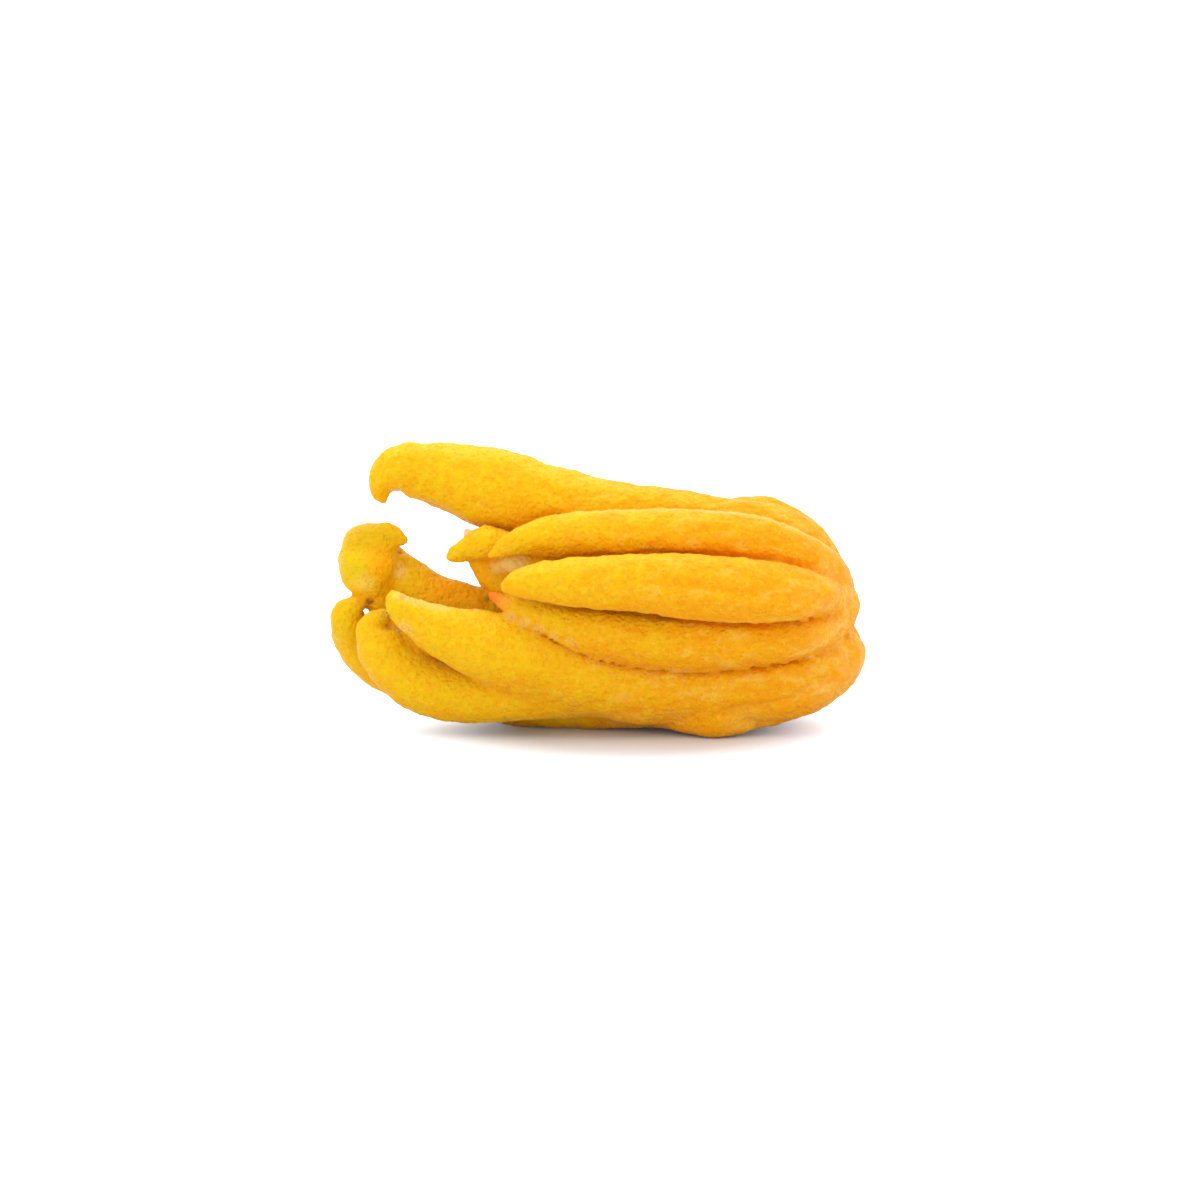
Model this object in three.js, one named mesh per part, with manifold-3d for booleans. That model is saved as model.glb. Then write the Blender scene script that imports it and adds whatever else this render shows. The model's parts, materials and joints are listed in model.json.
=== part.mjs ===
// Buddha's hand citron: one fused fruit of curling fingers lying on its side,
// with the small woody button where it was cut from the branch.
// Millimetres, +Z up. Stem end towards +X, fingertips towards -X.
// The fruit rests on z = 0 and its box is centred over the origin.

import * as THREE from 'three';
import { LoftGeometry } from 'three/addons/geometries/LoftGeometry.js';
import { mergeVertices } from 'three/addons/utils/BufferGeometryUtils.js';
import Module from 'manifold-3d';

// ---- driving dimensions (mm) ----
const SIDES = 14;            // corners round each finger
const STEP = 13;             // distance between rings along a straight stretch
const TURN = 24;             // most degrees a finger turns between two rings
const FLAT = 0.35;           // how far the resting lobes are pressed flat
const THIN = 0.6;            // least radius of a finger
// rings of a finger's rounded end: how far out and how wide, in radii
const ENDS = [[0.5, 0.86], [0.86, 0.5]];
const WELD = 1e-4;           // corners closer than this are one
const TABLE = { wide: 400, thick: 100 };
const PEEL = { colour: '#f3b41c', roughness: 0.45 };
const WOOD = { colour: '#7a6238', roughness: 0.85 };
const STEM = { x: 84.6, y: 4, z: 38 };                 // seat of the stem button
const BUTTON = { disc: 5.6, stub: 3.1, thick: 2.4, tall: 5.2, gap: 0.3, corners: 24 };
const BORE = 40;             // length of the cutter for that seat

// Each finger: points along its middle line, [x, y, z, radius], from the stem
// end to the tip.
const FINGERS = {
  // big upper finger, its tip hooked down
  top: [[80, 2, 50, 9], [76, -1, 60, 10.5], [66, -4, 68.5, 11.2], [50, -5, 72, 11],
    [40, -5, 73.6, 11], [20, -5, 76.2, 11.3], [0, -4, 78.3, 12.3], [-20, -2, 82.3, 13.3],
    [-40, 0, 87.2, 14.3], [-52, 0, 90.3, 12.5], [-62, 0, 92.4, 10.4], [-71, 0, 93, 8.9],
    [-76.3, 0, 89.3, 5.9], [-77.7, 0, 85, 3.6], [-77, 0, 82.6, 2.2]],
  // its neighbour behind, seen only as a shoulder from the front
  top_back: [[78, 14, 44, 9], [79, 14, 52, 10.5], [76.5, 15, 58.3, 11.4], [70.5, 15, 64, 12],
    [61, 16, 69.4, 12.4], [52, 17, 69.8, 12.2], [40, 18, 68.5, 12], [20, 20, 69.5, 11.8],
    [0, 21, 72, 11], [-20, 21, 75, 9.5], [-38, 19, 79, 7.5], [-50, 17, 84, 5],
    [-56, 15, 88.5, 2.3]],
  // three long fingers lying along the front
  front_upper: [[83, -2, 47, 7], [82, -7, 52, 8.5], [78.8, -12, 56.8, 9.5], [74, -17, 60.6, 10],
    [68, -20.5, 64.3, 10.2], [60, -22, 67.6, 10.3], [50, -23.5, 70.4, 10.2], [35, -24, 71.9, 10],
    [20, -24, 72.4, 9.8], [0, -24, 72.4, 9], [-10, -24, 72.3, 8.3], [-20, -24, 71.9, 7],
    [-30, -24, 69.4, 4.8], [-35, -24, 66.8, 3], [-38, -24, 65.3, 1.4]],
  front_middle: [[84, -5, 46.5, 7], [84, -13, 48.3, 7], [81.5, -22, 50.2, 6], [78, -30, 52.4, 6.2],
    [72, -35.5, 53.3, 8.4], [64, -38.5, 54.3, 9.9], [55, -40, 55.1, 10.8], [40, -41, 56.2, 11.3],
    [20, -41, 57.7, 10.4], [0, -40.5, 58.2, 9], [-10, -40, 58.2, 8.3], [-20, -39, 58.3, 6.7],
    [-27, -38, 57.5, 5.2], [-31, -37.5, 56.3, 3.4]],
  front_lower: [[83, -4, 46.5, 8.5], [82.5, -13, 45, 9.2], [78, -20, 42, 9.1],
    [70, -25, 39.4, 9.2], [60, -27, 38, 9.5], [50, -28, 37.2, 10], [40, -28, 36.8, 10.4],
    [20, -28, 37.4, 10.4], [0, -28, 39.8, 9.2], [-10, -28, 41.8, 8], [-20, -28.5, 44.6, 6],
    [-30, -29.5, 48.6, 3.5], [-35, -30, 51, 2.3], [-37.3, -30, 52.3, 1.5]],
  // the long low finger that rises to a blunt tip on the left
  low_long: [[83, 0, 29, 11.8], [83.4, -8, 28, 11.6], [77, -13, 22.8, 12.3], [66, -16, 19, 12.8],
    [55, -17.5, 18.4, 13], [40, -18, 18, 12.8], [20, -18, 17.8, 12.8], [0, -20, 21, 13.2],
    [-20, -23.5, 27.5, 13.2], [-38, -27, 33.5, 12.2], [-60, -27.5, 41.6, 7.8],
    [-66, -27.5, 45.2, 5.8], [-69.4, -27.4, 48, 4.7], [-71.4, -27, 50.2, 3.5]],
  // the one curling up below it, and the leftmost one behind that
  low_curl: [[20, -14, 17, 9], [0, -17, 17.5, 10], [-20, -18, 16.5, 10], [-40, -17.5, 14.9, 9.8],
    [-50, -17, 14.8, 9.7], [-60, -16, 17, 9.8], [-68, -15, 21.1, 9.6], [-74.5, -14, 27.5, 9],
    [-78.3, -14, 34, 8], [-79, -14, 39.6, 5.4], [-77, -14.5, 42, 3.2], [-74.5, -15, 43.8, 1.8]],
  far_curl: [[80, 3, 26, 9], [74, 4, 17, 10.5], [62, 5, 12.4, 10.8], [40, 6, 11.6, 10.8],
    [15, 8, 11.4, 10.5], [-10, 8, 11.4, 10.2], [-40, 5, 12.6, 9.8], [-60, 3, 16.4, 8.6],
    [-73, 2, 19.8, 8], [-81.8, 2, 25.6, 7.8], [-87.2, 1, 31.7, 7.4], [-89, -3, 37.8, 6.8],
    [-89, -5, 42, 6.2], [-87, -7, 45.2, 4.2], [-84.3, -8, 46.9, 2.4], [-82.4, -8.5, 46.8, 1.1]],
  // the hooked finger whose tip turns back towards the stem
  hook: [[20, 4, 38, 10], [0, 3, 40, 8.5], [-20, 2, 41, 7.8], [-35, 2, 42, 7.4],
    [-48, 2, 44.4, 7.5], [-60, 2, 47.5, 8.8], [-69, 3, 51.4, 10.2], [-76, 3, 55.6, 10.4],
    [-80, 0, 60, 10.6], [-81, -3, 63.9, 10.6], [-79.4, -4.5, 66.6, 9.4], [-76.4, -6, 68.8, 7],
    [-73.4, -7, 70, 4.9], [-71, -8, 69.6, 3], [-69, -8.5, 68.6, 1.5]],
  // its thick neck
  hook_neck: [[-76.5, -3, 44.5, 4.5], [-79.4, -3, 48.7, 5.9], [-81, -4, 53, 8.3],
    [-81.9, -5, 58.6, 10.6], [-81, -5, 63.5, 9.8]],
  // short fingers inside the hand
  inner_point: [[-8, -12, 66, 7.5], [-20, -12.5, 66.6, 5.6], [-29, -13.5, 67.2, 5.2],
    [-36, -14.5, 68, 5.6], [-41, -15, 68.7, 6.2], [-44.5, -15, 67.6, 5.3], [-48, -15.5, 66, 4],
    [-51.5, -16, 64.4, 2.5]],
  inner_peak: [[-33, -14.5, 67.5, 4.5], [-37.5, -15, 70, 4.2], [-39.6, -15.3, 72.8, 2.8],
    [-40.6, -15.5, 74.6, 1.3]],
  inner_rise: [[0, -2, 46, 9], [-15, -5, 47, 8], [-27, -8, 50.2, 7], [-35, -9.5, 54.3, 6],
    [-40.5, -10.5, 60.3, 4.8], [-44, -11, 66.7, 3.6], [-46.3, -11, 72, 2]],
  inner_wedge: [[10, -12, 61, 9], [-10, -12.5, 61, 8], [-22, -13, 61.4, 6.6],
    [-30, -13.5, 61.5, 4.8], [-35, -14, 62, 2.6], [-37.6, -14, 62.3, 1.3]],
  inner_back: [[10, 8, 60, 9], [-8, 9, 61, 8.5], [-20, 9, 62, 8], [-31, 8, 62.5, 6.5],
    [-38, 7, 62.5, 4.2], [-42.5, 6, 62.5, 1.8]],
  inner_low: [[0, 14, 32, 9.5], [-20, 10, 30, 9], [-38, 4, 29, 8], [-52, -4, 29.6, 7],
    [-61, -8, 31, 6.4], [-68, -9, 34, 5.6], [-73, -9, 38, 4.6], [-77, -10, 40, 3.4]],
  // lobe under the front that the fruit lies on
  under: [[80, -3, 22, 8.5], [72, -9, 16.6, 9], [62, -13, 12.4, 9.6], [55, -15, 11.2, 9],
    [47, -19, 8.2, 7.8], [40, -20.5, 7.6, 7.7], [33, -18.5, 8.2, 7.6], [26, -14, 10.2, 8.4],
    [14, -8, 10.4, 9], [0, -4, 9.6, 9.6], [-20, 0, 9.4, 9.4], [-34, 2, 9, 8], [-42, 1, 10.4, 4.2]],
  // three fingers along the back
  back_upper: [[82, 12, 42, 10], [78, 24, 46, 11.5], [66, 34, 51, 12.5], [48, 39, 55, 12.8],
    [28, 40, 56, 12.3], [5, 39, 55, 11], [-14, 36, 53, 9], [-28, 32, 52, 6.5], [-37, 28, 53, 3.5],
    [-40, 26, 54, 1.5]],
  back_middle: [[83, 10, 33, 10], [79, 24, 32, 11.5], [68, 36, 31, 12.8], [50, 42, 31, 13.2],
    [28, 43, 31, 12.8], [5, 42, 30.5, 12], [-20, 39, 30.5, 11], [-42, 34, 31.5, 9.5],
    [-58, 28, 33, 7.5], [-68, 22, 35, 5], [-74, 17, 37.5, 2.5]],
  back_lower: [[82, 4, 26, 11], [77, 14, 20, 12], [68, 23, 15.5, 12.6], [52, 28, 12.7, 12.7],
    [34, 30, 12.3, 12.3], [12, 30, 12, 12], [-10, 28, 11.8, 11.5], [-32, 25, 12.5, 10],
    [-48, 21, 15, 8], [-58, 17, 19, 5.5], [-63, 14, 24, 3]],
  // the solid palm that joins the fingers
  palm: [[-8, 3, 44, 15], [8, 2, 43, 21], [25, 2, 42, 26], [45, 2, 41, 28.5], [62, 2, 41, 28.5],
    [74, 2, 41, 25.5], [81, 3, 40, 18], [85, 4, 38, 9]],
  // rounds off the top of the hooked finger
  hook_crown: [[-85, -3, 62.4, 9.1], [-81, -4, 64.9, 10], [-77.5, -5.5, 67.4, 7.6]],
};

// ---- one finger: rings along a smooth middle line, rounded off at both ends ----
function finger(route) {
  const line = new THREE.CatmullRomCurve3(route.map(([x, y, z]) => new THREE.Vector3(x, y, z)));
  const size = new THREE.CatmullRomCurve3(route.map(([, , , r]) => new THREE.Vector3(r, 0, 0)));
  const stations = [];
  for (let i = 0; i + 1 < route.length; i++) {
    const span = line.points[i].distanceTo(line.points[i + 1]);
    const turn = line.getTangent(i / (route.length - 1))
      .angleTo(line.getTangent((i + 1) / (route.length - 1)));
    const parts = Math.max(1, Math.round(span / STEP),
      Math.ceil(THREE.MathUtils.radToDeg(turn) / TURN));
    for (let k = 0; k < parts; k++) stations.push((i + k / parts) / (route.length - 1));
  }
  stations.push(1);
  const rings = [];
  let side = new THREE.Vector3(0, 0, 1);
  const ring = (centre, along, radius) => {
    const across = new THREE.Vector3().crossVectors(along, side);
    const points = [];
    for (let k = 0; k < SIDES; k++) {
      const a = (2 * Math.PI * k) / SIDES;
      points.push(centre.clone()
        .addScaledVector(side, radius * Math.cos(a))
        .addScaledVector(across, radius * Math.sin(a)));
    }
    rings.push(points);
  };
  stations.forEach((t, i) => {
    const centre = line.getPoint(t);
    const along = line.getTangent(t);
    const radius = Math.max(size.getPoint(t).x, THIN);
    side.addScaledVector(along, -side.dot(along)).normalize();
    if (i === 0) {
      for (const [out, wide] of [...ENDS].reverse()) {
        ring(centre.clone().addScaledVector(along, -out * radius), along, wide * radius);
      }
    }
    ring(centre, along, radius);
    if (i === stations.length - 1) {
      for (const [out, wide] of ENDS) {
        ring(centre.clone().addScaledVector(along, out * radius), along, wide * radius);
      }
    }
  });
  return new LoftGeometry(rings, { capStart: true, capEnd: true });
}

// ---- joining and cutting ----
const wasm = await Module();
wasm.setup();

function solid(geometry) {
  const bare = new THREE.BufferGeometry();
  bare.setAttribute('position', geometry.attributes.position);
  bare.setIndex(geometry.index);
  const merged = mergeVertices(bare, WELD);
  return new wasm.Manifold(new wasm.Mesh({
    numProp: 3,
    vertProperties: new Float32Array(merged.attributes.position.array),
    triVerts: new Uint32Array(merged.index.array),
  }));
}

function surface(body) {
  const { vertProperties, triVerts } = body.getMesh();
  const geometry = new THREE.BufferGeometry();
  geometry.setAttribute('position', new THREE.BufferAttribute(vertProperties, 3));
  geometry.setIndex(new THREE.BufferAttribute(triVerts, 1));
  geometry.computeVertexNormals();
  return geometry;
}

// ---- the fruit ----
let body = null;
for (const route of Object.values(FINGERS)) {
  const next = solid(finger(route));
  body = body ? body.add(next) : next;
}

// the table presses the lowest lobes flat at z = FLAT, which becomes z = 0
const below = new THREE.BoxGeometry(TABLE.wide, TABLE.wide, TABLE.thick)
  .translate(0, 0, FLAT - TABLE.thick / 2);
body = body.subtract(solid(below));

// round seat for the stem button
const { disc, stub, thick, tall, gap, corners } = BUTTON;
const seat = new THREE.CylinderGeometry(disc + gap, disc + gap, BORE, corners)
  .rotateZ(-Math.PI / 2).translate(STEM.x + BORE / 2, STEM.y, STEM.z);
body = body.subtract(solid(seat));

// one closed skin: only the outer body is kept
body = body.decompose().sort((a, b) => b.volume() - a.volume())[0];

// box centred over the origin, resting on z = 0
const peel = surface(body);
peel.computeBoundingBox();
const middle = peel.boundingBox.getCenter(new THREE.Vector3());
const shift = new THREE.Vector3(-middle.x, -middle.y, -FLAT);
peel.translate(shift.x, shift.y, shift.z);

// ---- the woody button: a round disc with the cut end of the stalk ----
// its outline, [radius, height], from the middle of its underside to the middle of the cut
const buttonShape = new THREE.LatheGeometry([
  [0, gap], [disc * 0.8, gap], [disc, gap + 0.8], [disc * 0.93, thick * 0.8],
  [disc * 0.7, thick], [stub * 1.15, thick * 1.15], [stub, tall - 0.5], [stub * 0.85, tall],
  [0, tall - 0.3],
].map(([r, h]) => new THREE.Vector2(r, h)), corners).rotateZ(-Math.PI / 2);

// ---- scene graph ----
const fruit = new THREE.Mesh(peel, new THREE.MeshStandardMaterial({
  color: PEEL.colour, roughness: PEEL.roughness, metalness: 0 }));
fruit.name = 'fruit';

const button = new THREE.Mesh(buttonShape, new THREE.MeshStandardMaterial({
  color: WOOD.colour, roughness: WOOD.roughness, metalness: 0 }));
button.name = 'stem_button';
button.position.set(STEM.x, STEM.y, STEM.z).add(shift);

const citron = new THREE.Group();
citron.name = 'buddhas_hand_citron';
citron.add(fruit, button);

export default citron;
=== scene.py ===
"""Buddha's hand citron: a fused fruit of curling fingers lying on its side.

Metres, +Z up, stem end towards +X, resting on z = 0. The middle lines of the
fingers are kept in millimetres, as drawn, and are moved into the frame by ORIGIN.
Other named lengths are in millimetres too, unless a comment gives another unit.
"""

import json
import math

import bpy
from bpy.props import FloatProperty, FloatVectorProperty, PointerProperty
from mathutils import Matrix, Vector
from mathutils.bvhtree import BVHTree
from mathutils.kdtree import KDTree

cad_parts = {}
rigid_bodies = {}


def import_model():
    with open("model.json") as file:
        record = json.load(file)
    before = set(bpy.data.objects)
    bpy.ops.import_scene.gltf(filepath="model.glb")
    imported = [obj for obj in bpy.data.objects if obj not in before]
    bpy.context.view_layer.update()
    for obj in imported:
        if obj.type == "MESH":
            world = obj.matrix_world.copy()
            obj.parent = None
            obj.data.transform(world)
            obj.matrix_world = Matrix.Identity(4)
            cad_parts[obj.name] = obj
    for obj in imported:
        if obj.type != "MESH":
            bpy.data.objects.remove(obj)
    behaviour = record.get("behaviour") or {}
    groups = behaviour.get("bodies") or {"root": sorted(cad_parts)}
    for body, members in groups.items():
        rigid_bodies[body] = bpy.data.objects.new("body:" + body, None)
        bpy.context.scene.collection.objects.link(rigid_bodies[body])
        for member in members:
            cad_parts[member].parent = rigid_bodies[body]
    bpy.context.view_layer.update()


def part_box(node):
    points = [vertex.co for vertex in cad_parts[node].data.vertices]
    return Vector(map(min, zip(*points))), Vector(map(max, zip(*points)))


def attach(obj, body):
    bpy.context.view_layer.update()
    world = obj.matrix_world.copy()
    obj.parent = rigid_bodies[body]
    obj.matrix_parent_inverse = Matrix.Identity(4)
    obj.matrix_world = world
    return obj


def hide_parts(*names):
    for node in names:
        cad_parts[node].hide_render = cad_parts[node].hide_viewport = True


bl_info = {
    "name": "Buddha's Hand Citron",
    "version": (1, 0, 0),
    "blender": (4, 5, 0),
    "location": "View3D > Sidebar > Citron",
    "description": "Builds a ripe Buddha's hand citron and its stage",
    "category": "Object",
}

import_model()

MM = 0.001
ORIGIN = Vector((0.445, -1.775, -0.350)) * MM

# Middle line of each finger from stem end to tip: x, y, z, radius, in millimetres.
FINGERS = {
    "top": [(80, 2, 50, 9), (76, -1, 60, 10.5), (66, -4, 68.5, 11.2), (50, -5, 72, 11),
        (40, -5, 73.6, 11), (20, -5, 76.2, 11.3), (0, -4, 78.3, 12.3), (-20, -2, 82.3, 13.3),
        (-40, 0, 87.2, 14.3), (-52, 0, 90.3, 12.5), (-62, 0, 92.4, 10.4), (-71, 0, 93, 8.9),
        (-76.3, 0, 89.3, 5.9), (-77.7, 0, 85, 3.6), (-77, 0, 82.6, 2.2)],
    "top_back": [(78, 14, 44, 9), (79, 14, 52, 10.5), (76.5, 15, 58.3, 11.4), (70.5, 15, 64, 12),
        (61, 16, 69.4, 12.4), (52, 17, 69.8, 12.2), (40, 18, 68.5, 12), (20, 20, 69.5, 11.8),
        (0, 21, 72, 11), (-20, 21, 75, 9.5), (-38, 19, 79, 7.5), (-50, 17, 84, 5),
        (-56, 15, 88.5, 2.3)],
    "front_upper": [(83, -2, 47, 7), (82, -7, 52, 8.5), (78.8, -12, 56.8, 9.5),
        (74, -17, 60.6, 10), (68, -20.5, 64.3, 10.2), (60, -22, 67.6, 10.3),
        (50, -23.5, 70.4, 10.2), (35, -24, 71.9, 10), (20, -24, 72.4, 9.8), (0, -24, 72.4, 9),
        (-10, -24, 72.3, 8.3), (-20, -24, 71.9, 7), (-30, -24, 69.4, 4.8), (-35, -24, 66.8, 3),
        (-38, -24, 65.3, 1.4)],
    "front_middle": [(84, -5, 46.5, 7), (84, -13, 48.3, 7), (81.5, -22, 50.2, 6),
        (78, -30, 52.4, 6.2), (72, -35.5, 53.3, 8.4), (64, -38.5, 54.3, 9.9),
        (55, -40, 55.1, 10.8), (40, -41, 56.2, 11.3), (20, -41, 57.7, 10.4), (0, -40.5, 58.2, 9),
        (-10, -40, 58.2, 8.3), (-20, -39, 58.3, 6.7), (-27, -38, 57.5, 5.2),
        (-31, -37.5, 56.3, 3.4)],
    "front_lower": [(83, -4, 46.5, 8.5), (82.5, -13, 45, 9.2), (78, -20, 42, 9.1),
        (70, -25, 39.4, 9.2), (60, -27, 38, 9.5), (50, -28, 37.2, 10), (40, -28, 36.8, 10.4),
        (20, -28, 37.4, 10.4), (0, -28, 39.8, 9.2), (-10, -28, 41.8, 8), (-20, -28.5, 44.6, 6),
        (-30, -29.5, 48.6, 3.5), (-35, -30, 51, 2.3), (-37.3, -30, 52.3, 1.5)],
    "low_long": [(83, 0, 29, 11.8), (83.4, -8, 28, 11.6), (77, -13, 22.8, 12.3),
        (66, -16, 19, 12.8), (55, -17.5, 18.4, 13), (40, -18, 18, 12.8), (20, -18, 17.8, 12.8),
        (0, -20, 21, 13.2), (-20, -23.5, 27.5, 13.2), (-38, -27, 33.5, 12.2),
        (-60, -27.5, 41.6, 7.8), (-66, -27.5, 45.2, 5.8), (-69.4, -27.4, 48, 4.7),
        (-71.4, -27, 50.2, 3.5)],
    "low_curl": [(20, -14, 17, 9), (0, -17, 17.5, 10), (-20, -18, 16.5, 10),
        (-40, -17.5, 14.9, 9.8), (-50, -17, 14.8, 9.7), (-60, -16, 17, 9.8), (-68, -15, 21.1, 9.6),
        (-74.5, -14, 27.5, 9), (-78.3, -14, 34, 8), (-79, -14, 39.6, 5.4), (-77, -14.5, 42, 3.2),
        (-74.5, -15, 43.8, 1.8)],
    "far_curl": [(80, 3, 26, 9), (74, 4, 17, 10.5), (62, 5, 12.4, 10.8), (40, 6, 11.6, 10.8),
        (15, 8, 11.4, 10.5), (-10, 8, 11.4, 10.2), (-40, 5, 12.6, 9.8), (-60, 3, 16.4, 8.6),
        (-73, 2, 19.8, 8), (-81.8, 2, 25.6, 7.8), (-87.2, 1, 31.7, 7.4), (-89, -3, 37.8, 6.8),
        (-89, -5, 42, 6.2), (-87, -7, 45.2, 4.2), (-84.3, -8, 46.9, 2.4),
        (-82.4, -8.5, 46.8, 1.1)],
    "hook": [(20, 4, 38, 10), (0, 3, 40, 8.5), (-20, 2, 41, 7.8), (-35, 2, 42, 7.4),
        (-48, 2, 44.4, 7.5), (-60, 2, 47.5, 8.8), (-69, 3, 51.4, 10.2), (-76, 3, 55.6, 10.4),
        (-80, 0, 60, 10.6), (-81, -3, 63.9, 10.6), (-79.4, -4.5, 66.6, 9.4), (-76.4, -6, 68.8, 7),
        (-73.4, -7, 70, 4.9), (-71, -8, 69.6, 3), (-69, -8.5, 68.6, 1.5)],
    "hook_neck": [(-76.5, -3, 44.5, 4.5), (-79.4, -3, 48.7, 5.9), (-81, -4, 53, 8.3),
        (-81.9, -5, 58.6, 10.6), (-81, -5, 63.5, 9.8)],
    "inner_point": [(-8, -12, 66, 7.5), (-20, -12.5, 66.6, 5.6), (-29, -13.5, 67.2, 5.2),
        (-36, -14.5, 68, 5.6), (-41, -15, 68.7, 6.2), (-44.5, -15, 67.6, 5.3), (-48, -15.5, 66, 4),
        (-51.5, -16, 64.4, 2.5)],
    "inner_peak": [(-33, -14.5, 67.5, 4.5), (-37.5, -15, 70, 4.2), (-39.6, -15.3, 72.8, 2.8),
        (-40.6, -15.5, 74.6, 1.3)],
    "inner_rise": [(0, -2, 46, 9), (-15, -5, 47, 8), (-27, -8, 50.2, 7), (-35, -9.5, 54.3, 6),
        (-40.5, -10.5, 60.3, 4.8), (-44, -11, 66.7, 3.6), (-46.3, -11, 72, 2)],
    "inner_wedge": [(10, -12, 61, 9), (-10, -12.5, 61, 8), (-22, -13, 61.4, 6.6),
        (-30, -13.5, 61.5, 4.8), (-35, -14, 62, 2.6), (-37.6, -14, 62.3, 1.3)],
    "inner_back": [(10, 8, 60, 9), (-8, 9, 61, 8.5), (-20, 9, 62, 8), (-31, 8, 62.5, 6.5),
        (-38, 7, 62.5, 4.2), (-42.5, 6, 62.5, 1.8)],
    "inner_low": [(0, 14, 32, 9.5), (-20, 10, 30, 9), (-38, 4, 29, 8), (-52, -4, 29.6, 7),
        (-61, -8, 31, 6.4), (-68, -9, 34, 5.6), (-73, -9, 38, 4.6), (-77, -10, 40, 3.4)],
    "under": [(80, -3, 22, 8.5), (72, -9, 16.6, 9), (62, -13, 12.4, 9.6), (55, -15, 11.2, 9),
        (47, -19, 8.2, 7.8), (40, -20.5, 7.6, 7.7), (33, -18.5, 8.2, 7.6), (26, -14, 10.2, 8.4),
        (14, -8, 10.4, 9), (0, -4, 9.6, 9.6), (-20, 0, 9.4, 9.4), (-34, 2, 9, 8),
        (-42, 1, 10.4, 4.2)],
    "back_upper": [(82, 12, 42, 10), (78, 24, 46, 11.5), (66, 34, 51, 12.5), (48, 39, 55, 12.8),
        (28, 40, 56, 12.3), (5, 39, 55, 11), (-14, 36, 53, 9), (-28, 32, 52, 6.5),
        (-37, 28, 53, 3.5), (-40, 26, 54, 1.5)],
    "back_middle": [(83, 10, 33, 10), (79, 24, 32, 11.5), (68, 36, 31, 12.8), (50, 42, 31, 13.2),
        (28, 43, 31, 12.8), (5, 42, 30.5, 12), (-20, 39, 30.5, 11), (-42, 34, 31.5, 9.5),
        (-58, 28, 33, 7.5), (-68, 22, 35, 5), (-74, 17, 37.5, 2.5)],
    "back_lower": [(82, 4, 26, 11), (77, 14, 20, 12), (68, 23, 15.5, 12.6), (52, 28, 12.7, 12.7),
        (34, 30, 12.3, 12.3), (12, 30, 12, 12), (-10, 28, 11.8, 11.5), (-32, 25, 12.5, 10),
        (-48, 21, 15, 8), (-58, 17, 19, 5.5), (-63, 14, 24, 3)],
    "palm": [(-8, 3, 44, 15), (8, 2, 43, 21), (25, 2, 42, 26), (45, 2, 41, 28.5),
        (62, 2, 41, 28.5), (74, 2, 41, 25.5), (81, 3, 40, 18), (85, 4, 38, 9)],
    "hook_crown": [(-85, -3, 62.4, 9.1), (-81, -4, 64.9, 10), (-77.5, -5.5, 67.4, 7.6)],
}
STEM = Vector((84.6, 4, 38)) * MM
LOOK_DOWN = 0.14        # how far the front view's line of sight falls for each step back
LOOK_FROM = 0.3         # metres before the middle where a line of sight starts

SECTIONS = 3            # different cross-sections that the fingers take in turn
SPIRAL = 1.7            # radians from one finger's ridges to the next one's
END_REACH, END_THICK = 0.8, 0.45    # a finger's rounded end, as parts of its last radius
FOLD_STEPS, FOLD_DEEP = 60, 1.6     # smoothing that a fold is measured against, and a full fold
SLACK = 0.05            # depth below which a fold isn't sharpened
PALM = (76, 92)         # where the smoothing of the stem end sets in and is full
DIMPLE, SEAT, BELL, SINK = 13, 5.6, 9, 0.3  # hollow at the stem: edge, floor, depth, clearance
THINNED = 0.66          # part of the faces that stay
PALM_EVEN, JOIN_EVEN, ALL_EVEN, LIP_EVEN = 10, 50, 2, 3     # smoothing steps
SHARPEN_STEPS, SHARPEN_BY = 12, 0.9     # smoothing that it is measured against, and strength
LIPS = (1, 4)           # where the evening beside an undercut is full and where it ends
BUMPS = {"swellings": 0.014, "lumps": 0.0052, "pimples": 0.0022}    # grain in metres

# Stem button: its disc, then how far each step of its crown goes in and out along the stem.
DISC_RADIUS, DISC_DEPTH, DISC_MIDDLE = 5.4, 2.4, 1.0
SHOULDER, CUT_RIM, PITH = (1.2, 0.5), (0.7, -0.35), (1.2, 0.25)
STUB_IN, STUB_OUT = 1.1, 1.9
DISC_BEVEL = 0.25
LOBES, LOBE_FROM = 5, 4.6       # how many, and how far out the disc is lobed
LOBE_BY, LOBE_IN = 0.13, 0.6    # strength, and how much more they go in than out
BARK_GRAIN, BARK_HEIGHT = 0.0018, 0.0006    # metres

# Furrows as they look from the front, a little from above: depth, reach, then x and height
# along the line, in millimetres. A negative depth raises a ridge.
FURROWS = [
    (0.9, 3.2, [(14, 53), (28, 52), (40, 50.5), (52, 48.6), (62, 47.4), (70, 47)]),
    (-0.7, 3.5, [(24, 48.5), (36, 47), (50, 45), (62, 44)]),
    (1.5, 3.2, [(40, 5.5), (47, 7.3), (60, 9.5), (68, 11.5), (74, 14.5), (82, 19), (88, 25)]),
    (1.0, 2.6, [(50, 3.2), (58, 2.6), (67, 3.2)]),
    (0.9, 2.6, [(25.5, 2.5), (27, 0.5), (28, -1.5)]),
    (0.8, 2.4, [(57, 2.5), (56, 1), (55.5, 0)]),
    (1.2, 3.0, [(84, 36), (87, 34.5), (90, 34)]),
    (1.0, 2.6, [(80, 53), (84, 52.5), (88, 52)]),
]

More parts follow.
